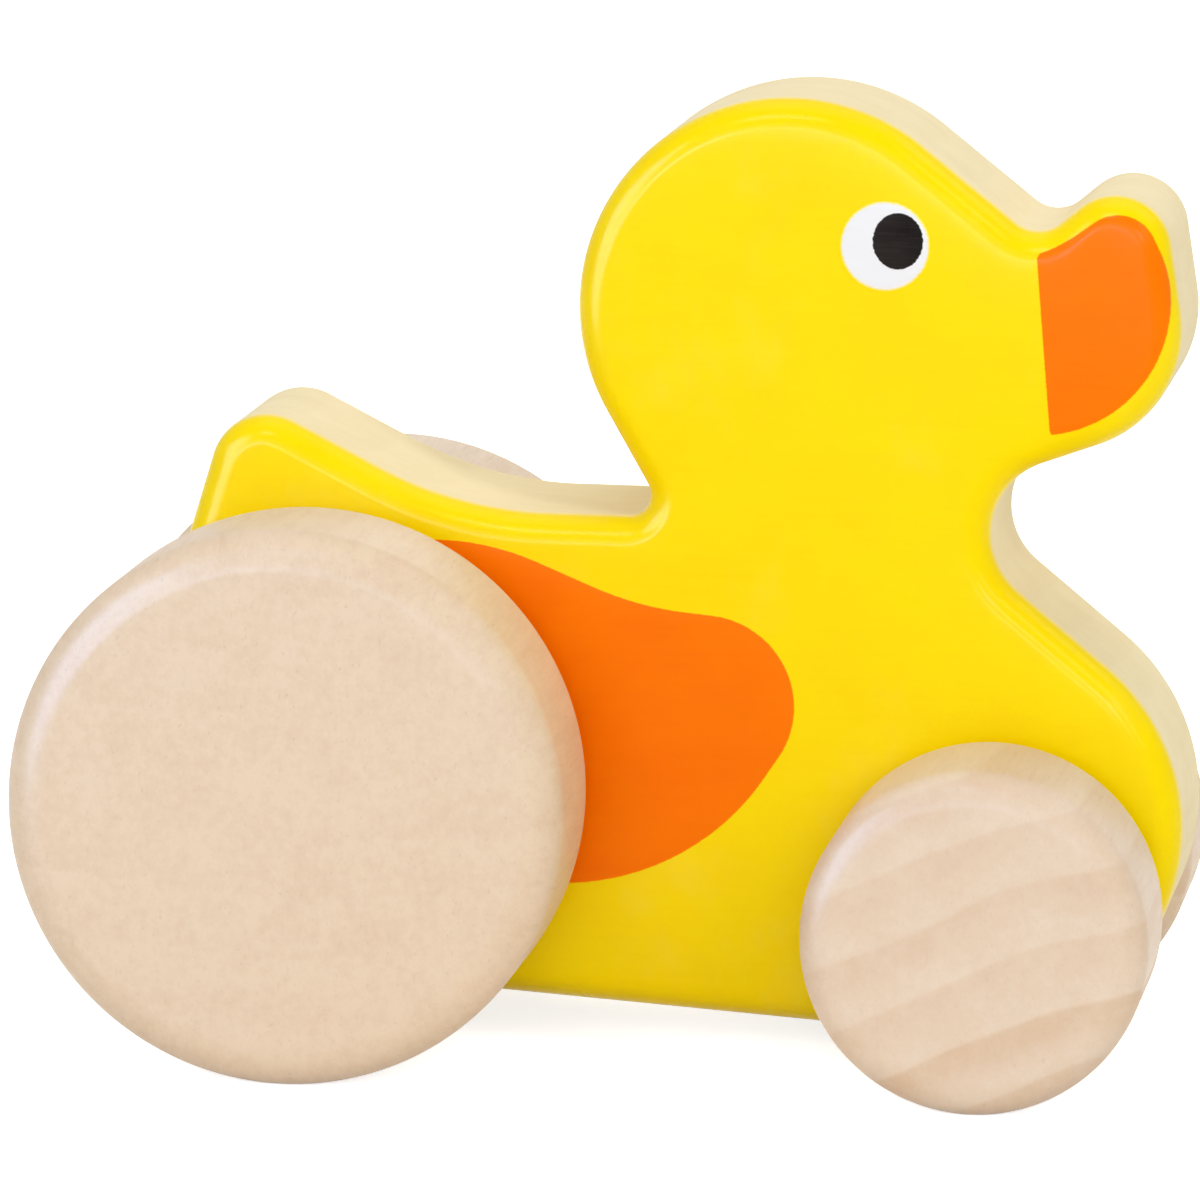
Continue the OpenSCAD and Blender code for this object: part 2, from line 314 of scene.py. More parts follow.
@dataclass
class Shell:
    """Closed surface under construction: points in millimetres and faces as rows of indices."""

    points: list[Array] = field(default_factory=list)
    faces: list[Array] = field(default_factory=list)
    count: int = 0

    def add(self, points: Array) -> int:
        """Adds points.

        Args:
            points: Array with a row [x, y, z] per point.

        Returns:
            Index of the first of them.
        """
        first = self.count
        self.points.append(points)
        self.count += len(points)
        return first

    def join_rings(self, first: int, second: int, count: int) -> None:
        """Joins two rings of points with a band of four-cornered faces.

        Args:
            first: Index of the first ring's first point.
            second: Index of the second ring's first point.
            count: Number of points in each ring.
        """
        here = np.arange(count)
        after = (here + 1) % count
        self.faces.append(np.stack([first + here, second + here, second + after, first + after], axis=1))

    def join_pole(self, pole: int, ring: int, count: int, ends: bool) -> None:
        """Closes a ring of points with a fan of triangles round a pole.

        Args:
            pole: Index of the pole.
            ring: Index of the ring's first point.
            count: Number of points in the ring.
            ends: True if the pole comes after the ring.
        """
        here = np.arange(count)
        after = (here + 1) % count
        pair = (ring + after, ring + here) if ends else (ring + here, ring + after)
        self.faces.append(np.stack([np.full(count, pole), *pair], axis=1))

    def to_object(self, name: str, sharp: float = 40.0) -> bpy.types.Object:
        """Makes a mesh object, with faces that point outwards and are smooth up to an angle.

        The sum of the tetrahedra between the faces and the origin is positive if they point outwards.

        Args:
            name: Name of the object.
            sharp: Angle between faces, in degrees, past which an edge is sharp.

        Returns:
            The object, linked to the scene.
        """
        points = np.concatenate(self.points)
        volume = 0.0
        for block in self.faces:
            for corner in range(1, block.shape[1] - 1):
                a, b, c = points[block[:, 0]], points[block[:, corner]], points[block[:, corner + 1]]
                volume += (a * np.cross(b, c)).sum() / 6
        turned = [block[:, ::-1] if volume < 0 else block for block in self.faces]
        mesh = bpy.data.meshes.new(name)
        mesh.from_pydata((points * MM).tolist(), [], [face for block in turned for face in block.tolist()])
        mesh.polygons.foreach_set("use_smooth", np.ones(len(mesh.polygons), dtype=bool))
        mesh.set_sharp_from_angle(angle=math.radians(sharp))
        mesh.update()
        obj = bpy.data.objects.new(name, mesh)
        bpy.context.scene.collection.objects.link(obj)
        return obj


def put_in_place(obj: bpy.types.Object, body: Body, nodes: tuple[str, ...]) -> None:
    """Lets a finished piece ride a body and stand for CAD nodes.

    Args:
        obj: The piece.
        body: Body that it moves with.
        nodes: CAD nodes that it replaces.
    """
    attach(obj, body.value)
    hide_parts(*nodes)
    LOG.info("%s: %d faces, rides %s", obj.name, len(obj.data.polygons), body.value)


# Node trees


class Graph:
    """Adds nodes to one node tree and joins them."""

    def __init__(self, tree: bpy.types.NodeTree) -> None:
        """Works on a given tree."""
        self.tree = tree

    def node(self, kind: str, inputs: Optional[dict] = None, **settings: object) -> bpy.types.Node:
        """Adds a node.

        Args:
            kind: Blender's name for the type of node.
            inputs: Values or sockets to join, by the name or number of the node's input.
            **settings: Properties of the node.

        Returns:
            The node.
        """
        node = self.tree.nodes.new(kind)
        for name, value in settings.items():
            setattr(node, name, value)
        for key, value in (inputs or {}).items():
            if isinstance(value, Socket):
                self.tree.links.new(value, node.inputs[key])
            else:
                node.inputs[key].default_value = value
        return node

    def math(self, operation: str, first: Value, second: Value = 0.5) -> Socket:
        """Result of a sum, product or other operation on two values."""
        return self.node("ShaderNodeMath", {0: first, 1: second}, operation=operation).outputs[0]

    def scaled(self, vector: Value, factors: tuple[float, float, float]) -> Socket:
        """Vector with each of its parts multiplied by a factor."""
        return self.node("ShaderNodeVectorMath", {0: vector, 1: factors}, operation="MULTIPLY").outputs[0]

    def noise(self, vector: Value, scale: float, detail: float = 2.0, roughness: float = 0.5) -> Socket:
        """Soft noise between about 0.2 and 0.8 at a place."""
        inputs = {"Vector": vector, "Scale": scale, "Detail": detail, "Roughness": roughness}
        return self.node("ShaderNodeTexNoise", inputs).outputs[0]

    def ramp(self, value: Value, low: Value, high: Value, start: Value = 0.0, end: Value = 1.0) -> Socket:
        """Smooth step from start to end as a value goes from low to high."""
        inputs = {"Value": value, "From Min": low, "From Max": high, "To Min": start, "To Max": end}
        return self.node("ShaderNodeMapRange", inputs, interpolation_type="SMOOTHSTEP").outputs[0]

    def blend(self, share: Value, first: Value, second: Value) -> Socket:
        """Colour between two others."""
        return self.node("ShaderNodeMix", {0: share, 6: first, 7: second}, data_type="RGBA").outputs[2]

    def between(self, share: Value, first: Value, second: Value) -> Socket:
        """Number between two others."""
        return self.node("ShaderNodeMix", {0: share, 2: first, 3: second}, data_type="FLOAT").outputs[0]

    def place(self) -> Socket:
        """Object coordinates in millimetres."""
        coordinates = self.node("ShaderNodeTexCoord").outputs["Object"]
        return self.scaled(coordinates, (1 / MM, 1 / MM, 1 / MM))

    def moved_place(self, shift: tuple[float, float, float], turn: float = 0.0) -> Socket:
        """Object coordinates in millimetres, turned about Z and then moved."""
        inputs = {"Vector": self.place(), "Location": shift, "Rotation": (0.0, 0.0, turn)}
        return self.node("ShaderNodeMapping", inputs).outputs[0]

    def seen(self) -> Socket:
        """1 for what the camera sees directly, mirrored or through something clear, and else 0."""
        path = self.node("ShaderNodeLightPath").outputs
        seen = self.math("MAXIMUM", path["Is Camera Ray"], path["Is Glossy Ray"])
        return self.math("MAXIMUM", seen, path["Is Transmission Ray"])


class Effect:
    """Node group that several finishes share, built once."""

    name = "effect"
    inputs: tuple[tuple[str, str], ...] = ()
    outputs: tuple[tuple[str, str], ...] = ()

    @classmethod
    def tree(cls) -> bpy.types.NodeTree:
        """The group's node tree, made the first time that it is asked for.

        Returns:
            The tree.
        """
        found = bpy.data.node_groups.get(cls.name)
        if found:
            return found
        tree = bpy.data.node_groups.new(cls.name, "ShaderNodeTree")
        for way, sockets in (("INPUT", cls.inputs), ("OUTPUT", cls.outputs)):
            for name, kind in sockets:
                tree.interface.new_socket(name=name, in_out=way, socket_type="NodeSocket" + kind)
        graph = Graph(tree)
        results = cls.wire(graph, graph.node("NodeGroupInput").outputs)
        graph.node("NodeGroupOutput", results)
        return tree

    @classmethod
    def wire(cls, graph: Graph, given: bpy.types.bpy_prop_collection) -> dict[str, Socket]:
        """Wires the inside of the group.

        Args:
            graph: Graph of the group's tree.
            given: The group's inputs.

        Returns:
            The sockets that the group puts out, by name.
        """
        raise NotImplementedError

    @classmethod
    def use(cls, graph: Graph, inputs: dict[str, Value]) -> bpy.types.bpy_prop_collection:
        """Places the group in a material.

        Args:
            graph: Graph of the material's tree.
            inputs: Values or sockets for the group's inputs.

        Returns:
            The outputs of the placed group.
        """
        return graph.node("ShaderNodeGroup", inputs, node_tree=cls.tree()).outputs


class WoodGrain(Effect):
    """Solid wood whose fibres run along Y and whose growth rings lie round the Y axis of the place given."""

    name = "wood_grain"
    inputs = (("Place", "Vector"), ("Pale", "Color"), ("Dark", "Color"), ("Pore", "Color"),
              ("Ring Width", "Float"), ("Rings", "Float"), ("Blotches", "Float"), ("Flecks", "Float"),
              ("Pores", "Float"))
    outputs = (("Colour", "Color"), ("Roughness", "Float"), ("Height", "Float"))
    sway_scale = (0.05, 0.02, 0.05)
    sway_reach = 3.0
    fibre_scale = (3.2, 0.12, 3.2)
    blotch_scale = (0.9, 0.15, 0.9)
    mottle_scale = (0.22, 0.05, 0.22)
    pore_scale = (4.2, 0.5, 4.2)
    fleck_scale = (2.0, 2.9, 0.25)

    @classmethod
    def wire(cls, graph: Graph, given: bpy.types.bpy_prop_collection) -> dict[str, Socket]:
        """Each year's ring darkens slowly away from the axis and ends sharply, some years more than others.

        Flecks are peaks of noise drawn out from the axis. Pores are peaks of fine noise along the fibres.

        Args:
            graph: Graph of the group's tree.
            given: The group's inputs.

        Returns:
            Colour, roughness and height of the wood.
        """
        place = given["Place"]
        parts = graph.node("ShaderNodeSeparateXYZ", {0: place}).outputs
        across = graph.node("ShaderNodeCombineXYZ", {"X": parts["X"], "Z": parts["Z"]}).outputs[0]
        away = graph.node("ShaderNodeVectorMath", {0: across}, operation="LENGTH").outputs["Value"]
        sway = graph.noise(graph.scaled(place, cls.sway_scale), 1.0, 1.0)
        swayed = graph.math("ADD", away, graph.math("MULTIPLY", sway, cls.sway_reach))
        years = graph.math("DIVIDE", swayed, given["Ring Width"])
        share = graph.math("FRACT", years)
        season = graph.math("MULTIPLY", graph.ramp(share, 0.0, 0.8), graph.ramp(share, 0.9, 1.0, 1.0, 0.0))
        year = graph.math("FLOOR", years)
        weather = graph.node("ShaderNodeTexWhiteNoise", {"W": year}, noise_dimensions="1D").outputs["Value"]
        rings = graph.math("MULTIPLY", season, graph.ramp(weather, 0.0, 1.0, 0.4, 1.0))
        angle = graph.math("ARCTAN2", parts["X"], graph.math("ABSOLUTE", parts["Z"]))
        around = graph.math("MULTIPLY", angle, away)
        rays = graph.node("ShaderNodeCombineXYZ", {"X": away, "Y": around, "Z": parts["Y"]}).outputs[0]
        flecks = graph.ramp(graph.noise(graph.scaled(rays, cls.fleck_scale), 1.0, 1.5), 0.63, 0.83)
        fibres = graph.noise(graph.scaled(place, cls.fibre_scale), 1.0, 3.0, 0.6)
        blotches = graph.noise(graph.scaled(place, cls.blotch_scale), 1.0, 3.0, 0.65)
        mottle = graph.noise(graph.scaled(place, cls.mottle_scale), 1.0, 3.0, 0.6)
        pores = graph.ramp(graph.noise(graph.scaled(place, cls.pore_scale), 1.0, 1.0), 0.6, 0.78)
        shade = graph.math("MULTIPLY", rings, given["Rings"])
        patterns = ((fibres, 0.5, 0.3), (blotches, 0.5, given["Blotches"]), (mottle, 0.35, 0.9))
        for pattern, middle, weight in patterns:
            change = graph.math("MULTIPLY", graph.math("SUBTRACT", pattern, middle), weight)
            shade = graph.math("ADD", shade, change)
        colour = graph.blend(shade, given["Pale"], given["Dark"])
        open_grain = graph.math("MAXIMUM", graph.math("MULTIPLY", flecks, given["Flecks"]),
                                graph.math("MULTIPLY", pores, given["Pores"]))
        colour = graph.blend(open_grain, colour, given["Pore"])
        height = graph.math("SUBTRACT", graph.math("MULTIPLY", fibres, 0.4), open_grain)
        height = graph.math("SUBTRACT", height, graph.math("MULTIPLY", rings, 0.2))
        roughness = graph.ramp(graph.math("ADD", fibres, open_grain), 0.2, 1.0, 0.42, 0.62)
        return {"Colour": colour, "Roughness": roughness, "Height": height}


class PaintFilm(Effect):
    """Film of paint or ink: a little uneven in colour and gloss, with faint grain and brush lines along X."""

    name = "paint_film"
    inputs = (("Place", "Vector"), ("Colour", "Color"), ("Deep", "Color"), ("Streaks", "Float"))
    outputs = (("Colour", "Color"), ("Roughness", "Float"), ("Height", "Float"))
    broad_scale = (0.09, 0.09, 0.12)
    skin_scale = 2.2
    grain_scale = (0.05, 1.1, 1.4)
    line_scale = (0.22, 0.5, 9.0)

    @classmethod
    def wire(cls, graph: Graph, given: bpy.types.bpy_prop_collection) -> dict[str, Socket]:
        """Broad noise varies the film's depth, fine noise its skin, and drawn-out noise its streaks.

        Args:
            graph: Graph of the group's tree.
            given: The group's inputs.

        Returns:
            Colour, roughness and height of the film.
        """
        place = given["Place"]
        broad = graph.noise(graph.scaled(place, cls.broad_scale), 1.0, 3.0, 0.55)
        skin = graph.noise(place, cls.skin_scale, 2.0, 0.5)
        grain = graph.noise(graph.scaled(place, cls.grain_scale), 1.0, 3.0, 0.6)
        lines = graph.noise(graph.scaled(place, cls.line_scale), 1.0, 2.0, 0.6)
        streaks = graph.math("MULTIPLY", graph.ramp(lines, 0.5, 0.72), given["Streaks"])
        pools = graph.ramp(broad, 0.35, 0.7, 0.0, 0.6)
        ridges = graph.ramp(grain, 0.4, 0.8, 0.0, 0.25)
        depth = graph.math("ADD", pools, ridges)
        colour = graph.blend(depth, given["Colour"], given["Deep"])
        colour = graph.blend(streaks, colour, given["Deep"])
        height = graph.math("ADD", graph.math("MULTIPLY", broad, 0.9), graph.math("MULTIPLY", skin, 0.12))
        height = graph.math("ADD", height, graph.math("MULTIPLY", grain, 0.22))
        height = graph.math("SUBTRACT", height, graph.math("MULTIPLY", streaks, 0.2))
        worn = graph.math("ADD", graph.math("MULTIPLY", broad, 0.6), graph.math("MULTIPLY", skin, 0.4))
        return {"Colour": colour, "Roughness": graph.ramp(worn, 0.3, 0.7, 0.24, 0.36), "Height": height}


# Finishes


@dataclass(frozen=True)
class Finish:
    """Surface of some pieces, made as a node material."""

    body_ior = 1.5
    coat_ior = 1.45

    name: str

    def material(self) -> bpy.types.Material:
        """The finish's material, made the first time that it is asked for.

        Returns:
            The material.
        """
        found = bpy.data.materials.get(self.name)
        if found:
            return found
        material = bpy.data.materials.new(self.name)
        material.use_nodes = True
        material.node_tree.nodes.clear()
        graph = Graph(material.node_tree)
        shader = self.shader(graph)
        graph.node("ShaderNodeOutputMaterial", {"Surface": shader})
        return material

    def shader(self, graph: Graph) -> Socket:
        """Wires the material.

        Args:
            graph: Graph of the material's tree.

        Returns:
            The shader for the surface.
        """
        raise NotImplementedError

    def skin(self, graph: Graph, looks: dict[str, Value], height: Socket, depth: float,
             strength: float = 1.0) -> Socket:
        """Opaque surface with fine relief.

        Args:
            graph: Graph of the material's tree.
            looks: Inputs of the surface's shader, by name.
            height: Height of the relief.
            depth: Depth of the relief in millimetres.
            strength: Share of the relief that shows.

        Returns:
            The shader for the surface.
        """
        bump = graph.node("ShaderNodeBump", {"Strength": strength, "Distance": depth * MM, "Height": height})
        inputs = {**looks, "Normal": bump.outputs[0], "IOR": self.body_ior, "Coat IOR": self.coat_ior}
        return graph.node("ShaderNodeBsdfPrincipled", inputs).outputs[0]

    def dress(self, obj: bpy.types.Object) -> None:
        """Gives an object this finish alone."""
        obj.data.materials.clear()
        obj.data.materials.append(self.material())


@dataclass(frozen=True)
class BoardFinish(Finish):
    """Glossy yellow paint on the faces and their rounded edges, bare wood with fibres along X in between."""

    paint: Colour = (1.0, 0.76, 0.0, 1.0)
    deep_paint: Colour = (0.99, 0.71, 0.0, 1.0)
    # Paler yellow of the painted soft reflections that lie in broad patches on the faces
    reflection_yellow: Colour = (1.0, 0.78, 0.045, 1.0)
    pale_wood: Colour = (0.98, 0.85, 0.54, 1.0)
    dark_wood: Colour = (0.89, 0.73, 0.43, 1.0)
    pore: Colour = (0.42, 0.27, 0.13, 1.0)
    sheen: Colour = (1.0, 0.5, 0.12, 1.0)
    paint_from: float = 9.3
    paint_softness: float = 0.7
    wobble: float = 0.5
    rubbed_from: float = 11.6
    rubbed_to: float = 11.95
    pith_depth: float = 150.0
    bare_roughness: float = 0.25
    bare_relief: float = 0.1
    reflection_patch_scale: tuple[float, float, float] = (0.07, 0.1, 0.05)
    drift_scale: tuple[float, float, float] = (0.16, 0.3, 0.16)
    ragged_scale: float = 0.9
    rubbed_scale: float = 1.3
    gloss: float = 0.06
    coat: float = 0.11
    coat_roughness: float = 0.18
    relief: float = 0.06

    def shader(self, graph: Graph) -> Socket:
        """Paint lies where the distance from the board's middle plane, with a little wobble, is large enough.

        Args:
            graph: Graph of the material's tree.

        Returns:
            The shader for the surface.
        """
        place = graph.place()
        out = graph.math("ABSOLUTE", graph.node("ShaderNodeSeparateXYZ", {0: place}).outputs["Y"])
        drift = graph.math("SUBTRACT", graph.noise(graph.scaled(place, self.drift_scale), 1.0, 3.0), 0.5)
        ragged = graph.math("SUBTRACT", graph.noise(place, self.ragged_scale, 2.0), 0.5)
        edge = graph.math("ADD", out, graph.math("MULTIPLY", drift, self.wobble))
        edge = graph.math("ADD", edge, graph.math("MULTIPLY", ragged, self.wobble * 0.2))
        softness = self.paint_softness
        painted = graph.ramp(edge, self.paint_from - softness, self.paint_from + softness)
        lengthwise = graph.moved_place((0.0, 0.0, -self.pith_depth), math.pi / 2)
        wood = WoodGrain.use(graph, {
            "Place": lengthwise, "Pale": self.pale_wood, "Dark": self.dark_wood, "Pore": self.pore,
            "Ring Width": 3.0, "Rings": 0.18, "Blotches": 0.35, "Flecks": 0.03, "Pores": 0.05,
        })
        film = PaintFilm.use(graph, {
            "Place": place, "Colour": self.paint, "Deep": self.deep_paint, "Streaks": 0.0,
        })
        # Broad patches at random places turn paler yellow: painted soft reflections in the glossy paint
        reflection_patches = graph.noise(graph.scaled(place, self.reflection_patch_scale), 1.0, 4.0, 0.65)
        yellow = graph.blend(graph.ramp(reflection_patches, 0.54, 0.8, 0.0, 0.6), film["Colour"], self.reflection_yellow)
        colour = graph.blend(painted, wood["Colour"], yellow)
        bare = graph.math("ADD", wood["Roughness"], self.bare_roughness)
        roughness = graph.between(painted, bare, film["Roughness"])
        on_edge = graph.ramp(out, self.rubbed_from, self.rubbed_to, 1.0, 0.0)
        rubbed = graph.math("MULTIPLY", graph.noise(place, self.rubbed_scale, 2.0), on_edge)
        height = graph.math("ADD", graph.math("SUBTRACT", film["Height"], 0.5), rubbed)
        height = graph.between(painted, graph.math("MULTIPLY", wood["Height"], self.bare_relief), height)
        return self.skin(graph, {
            "Base Color": colour, "Roughness": roughness, "Specular IOR Level": self.gloss,
            "Specular Tint": self.sheen, "Coat Weight": graph.math("MULTIPLY", painted, self.coat),
            "Coat Roughness": self.coat_roughness,
        }, height, self.relief)


@dataclass(frozen=True)
class PrintFinish(Finish):
    """Satin ink that thins out to the colour below it at the rim of the print."""

    ink: Colour = (1.0, 0.2, 0.0, 1.0)
    deep_ink: Colour = (0.97, 0.17, 0.0, 1.0)
    below: Colour = (1.0, 0.76, 0.002, 1.0)
    sheen: Colour = (1.0, 0.45, 0.08, 1.0)
    gloss: float = 0.06
    coat: float = 0.08
    coat_roughness: float = 0.18
    rim: float = 0.15
    streaks: float = 0.0
    relief: float = 0.05
    ragged_scale: tuple[float, float, float] = (2.0, 2.0, 6.0)

    def shader(self, graph: Graph) -> Socket:
        """The mesh's own rim attribute is the distance from the print's edge.

        Args:
            graph: Graph of the material's tree.

        Returns:
            The shader for the surface.
        """
        place = graph.place()
        film = PaintFilm.use(graph, {
            "Place": place, "Colour": self.ink, "Deep": self.deep_ink, "Streaks": self.streaks,
        })
        rim = graph.node("ShaderNodeAttribute", attribute_name=Print.rim_name).outputs["Fac"]
        ragged = graph.math("SUBTRACT", graph.noise(graph.scaled(place, self.ragged_scale), 1.0, 2.0), 0.5)
        rim = graph.math("ADD", rim, graph.math("MULTIPLY", ragged, self.rim * 0.8))
        colour = graph.blend(graph.ramp(rim, 0.0, self.rim), self.below, film["Colour"])
        return self.skin(graph, {
            "Base Color": colour, "Roughness": film["Roughness"], "Specular IOR Level": self.gloss,
            "Specular Tint": self.sheen, "Coat Weight": self.coat, "Coat Roughness": self.coat_roughness,
        }, film["Height"], self.relief)


@dataclass(frozen=True)
class WheelFinish(Finish):
    """Pale sanded beech under a thin clear coat, with end grain on the faces of the wheel."""

    pith: tuple[float, float, float] = (0.0, 0.0, 0.0)
    pale: Colour = (0.80, 0.63, 0.455, 1.0)
    dark: Colour = (0.71, 0.51, 0.34, 1.0)
    pore: Colour = (0.48, 0.31, 0.18, 1.0)
    ring_width: float = 5.6
    rings: float = 0.4
    blotches: float = 1.3
    flecks: float = 0.26
    pores: float = 0.12
    gloss: float = 0.1
    coat: float = 0.1
    coat_roughness: float = 0.24
    relief: float = 0.05
    relief_share: float = 0.4

    def shader(self, graph: Graph) -> Socket:
        """The growth rings lie round the pith of the log that the wheel was cut from.

        Args:
            graph: Graph of the material's tree.

        Returns:
            The shader for the surface.
        """
        place = graph.moved_place(tuple(-value for value in self.pith))
        wood = WoodGrain.use(graph, {
            "Place": place, "Pale": self.pale, "Dark": self.dark, "Pore": self.pore,
            "Ring Width": self.ring_width, "Rings": self.rings, "Blotches": self.blotches,
            "Flecks": self.flecks, "Pores": self.pores,
        })
        return self.skin(graph, {
            "Base Color": wood["Colour"], "Roughness": wood["Roughness"], "Specular IOR Level": self.gloss,
            "Coat Weight": self.coat, "Coat Roughness": self.coat_roughness,
        }, wood["Height"], self.relief, self.relief_share)


@dataclass(frozen=True)
class DowelFinish(Finish):
    """Plain turned beech, darker than the wheels and not coated."""

    pale: Colour = (0.74, 0.55, 0.35, 1.0)
    dark: Colour = (0.58, 0.39, 0.22, 1.0)
    pore: Colour = (0.25, 0.14, 0.07, 1.0)
    pith_offset: tuple[float, float, float] = (60.0, 0.0, 40.0)
    relief: float = 0.06
    relief_share: float = 0.8

    def shader(self, graph: Graph) -> Socket:
        """The fibres run along the dowel.

        Args:
            graph: Graph of the material's tree.

        Returns:
            The shader for the surface.
        """
        place = graph.moved_place(self.pith_offset)
        wood = WoodGrain.use(graph, {
            "Place": place, "Pale": self.pale, "Dark": self.dark, "Pore": self.pore,
            "Ring Width": 2.5, "Rings": 0.5, "Blotches": 0.6, "Flecks": 0.3, "Pores": 0.3,
        })
        looks = {"Base Color": wood["Colour"], "Roughness": wood["Roughness"]}
        return self.skin(graph, looks, wood["Height"], self.relief, self.relief_share)


@dataclass(frozen=True)
class FloorFinish(Finish):
    """Plain white floor that is white to the camera and keeps the toy's shadow."""

    colour: Colour = (0.9, 0.9, 0.9, 1.0)
    glow: float = 0.7

    def shader(self, graph: Graph) -> Socket:
        """A matt surface, with a faint glow for what the camera sees directly or mirrored.

        Args:
            graph: Graph of the material's tree.

        Returns:
            The shader for the surface.
        """
        speck = graph.noise(graph.place(), 0.5, 3.0)
        roughness = graph.ramp(speck, 0.2, 0.8, 0.6, 1.0)
        matt = graph.node("ShaderNodeBsdfDiffuse", {"Color": self.colour, "Roughness": roughness})
        glow = graph.node("ShaderNodeEmission", {"Strength": graph.math("MULTIPLY", graph.seen(), self.glow)})
        return graph.node("ShaderNodeAddShader", {0: matt.outputs[0], 1: glow.outputs[0]}).outputs[0]


# The board and its prints


@dataclass
class DuckBoard:
    """Board cut to the duck's outline, with rounded edges and a bore for each axle."""

    finish: BoardFinish = BoardFinish("yellow_painted_board")
    edge_width: float = 2.7
    edge_depth: float = 3.0
    edge_steps: int = 14
    middle_steps: int = 10
    face_spacing: float = 1.1
    bore_radius: float = 4.08
    bore_count: int = 72
    slope_step: float = 0.01
    crown: float = 0.22
    crown_width: float = 9.0
    back_height: float = 50.9
    rump_clearance: float = 5.8
    rump_reach: float = 17.3
    rump_radius: float = 24.8
    tail_reach: float = 11.2
    tail_rise: float = 8.5
    tail_radius: float = 5.5
    saddle_radius: float = 36.0
    breast_clearance: float = 2.6
    breast_reach: float = 81.0
    breast_radius: float = 20.0
    neck_width: float = 32.0
    nape_radius: float = 2.0
    throat_radius: float = 7.0
    head_forward: float = 43.5
    head_radius: float = 19.8
    bill_length: float = 16.7
    chin_radius: float = 11.5
    chin_drop: float = 1.0
    bill_tip_radius: float = 5.2
    bill_tip_rise: float = 6.3
    bill_tip_setback: float = 1.1
    brow_radius: float = 3.3
    nape_room: float = 1.4
    tail_room: float = 1.0
    brow_head_room: float = 2.5
    brow_bill_room: float = 0.3

    def __post_init__(self) -> None:
        """Works out the places that follow from the sizes and from the frame."""
        box = NodeBox.of("body")
        axles = [NodeBox.of("rear_axle"), NodeBox.of("front_axle")]
        self.half_thickness = box.half(1)
        self.shift = axles[0].middle(0)
        self.bores = [(axle.middle(0), axle.middle(2)) for axle in axles]
        self.head_height = self.back_height + self.head_radius
        self.bill_reach = self.head_forward + self.head_radius + self.bill_length
        points, self.outward = Belt(self.discs()).sampled()
        self.outline = points + np.array([self.shift, 0.0])

    def discs(self) -> tuple[Disc, ...]:
        """Discs of the outline, from the breast up over the head to the rump.

        Returns:
            The discs in the order in which the outline runs round them.
        """
        breast = Disc(self.breast_reach - self.breast_radius, self.breast_clearance + self.breast_radius,
                      self.breast_radius)
        chin = Disc(self.bill_reach - self.chin_radius, self.head_height - self.chin_drop, self.chin_radius)
        tip = Disc(self.bill_reach - self.bill_tip_setback - self.bill_tip_radius,
                   self.head_height + self.bill_tip_rise, self.bill_tip_radius)
        head = Disc(self.head_forward, self.head_height, self.head_radius)
        tail = Disc(self.tail_radius - self.tail_reach, self.back_height + self.tail_rise - self.tail_radius,
                    self.tail_radius)
        rump = Disc(self.rump_radius - self.rump_reach, self.rump_clearance + self.rump_radius,
                    self.rump_radius)
        brow = head.hollow_with(self.brow_head_room, tip, self.brow_bill_room, self.brow_radius)
        nape_span = self.head_radius + self.nape_radius + self.nape_room
        nape_drop = self.head_radius - self.nape_radius
        nape = Disc(self.head_forward - math.sqrt(nape_span ** 2 - nape_drop ** 2),
                    self.back_height + self.nape_radius, -self.nape_radius)
        saddle_span = self.saddle_radius + self.tail_radius + self.tail_room
        saddle_rise = self.back_height + self.saddle_radius - tail.z
        saddle = Disc(tail.x + math.sqrt(saddle_span ** 2 - saddle_rise ** 2),
                      self.back_height + self.saddle_radius, -self.saddle_radius)
        breast_top, chin_bottom = breast.z + breast.radius, chin.z - chin.radius
        throat_round = min(self.throat_radius, (chin_bottom - breast_top) / 2)
        throat = Disc(nape.x + self.nape_radius + self.neck_width + throat_round,
                      (breast_top + chin_bottom) / 2, -throat_round)
        return breast, throat, chin, tip, brow, head, nape, saddle, tail, rump

    def depth(self, inwards: Array) -> Array:
        """Depth of the painted face below its middle, at a distance inwards from the outline.

        A quarter ellipse rounds the edge, and a parabola crowns the face a little farther in.

        Args:
            inwards: Distances from the outline.

        Returns:
            Depth at each of them.
        """
        on_edge = np.clip(1 - inwards / self.edge_width, 0, 1)
        on_crown = np.clip(1 - inwards / self.crown_width, 0, 1)
        return self.edge_depth * (1 - np.sqrt(1 - on_edge ** 2)) + self.crown * on_crown ** 2

    def surface(self, points: Array, side: Side, lift: Union[float, Array]) -> Array:
        """Points of a face of the board, lifted off it by a distance, more along Y where the face slopes.

        Args:
            points: Array with a row [x, z] per point.
            side: Face of the board.
            lift: Height above the paint.

        Returns:
            Array with a row [x, y, z] per point.
        """
        inwards = distance_to_ring(points, self.outline)
        slope = (self.depth(inwards - self.slope_step) - self.depth(inwards)) / self.slope_step
        out = self.half_thickness - self.depth(inwards) + lift * np.sqrt(1 + slope ** 2)
        return np.stack([points[:, 0], side.value * out, points[:, 1]], axis=1)

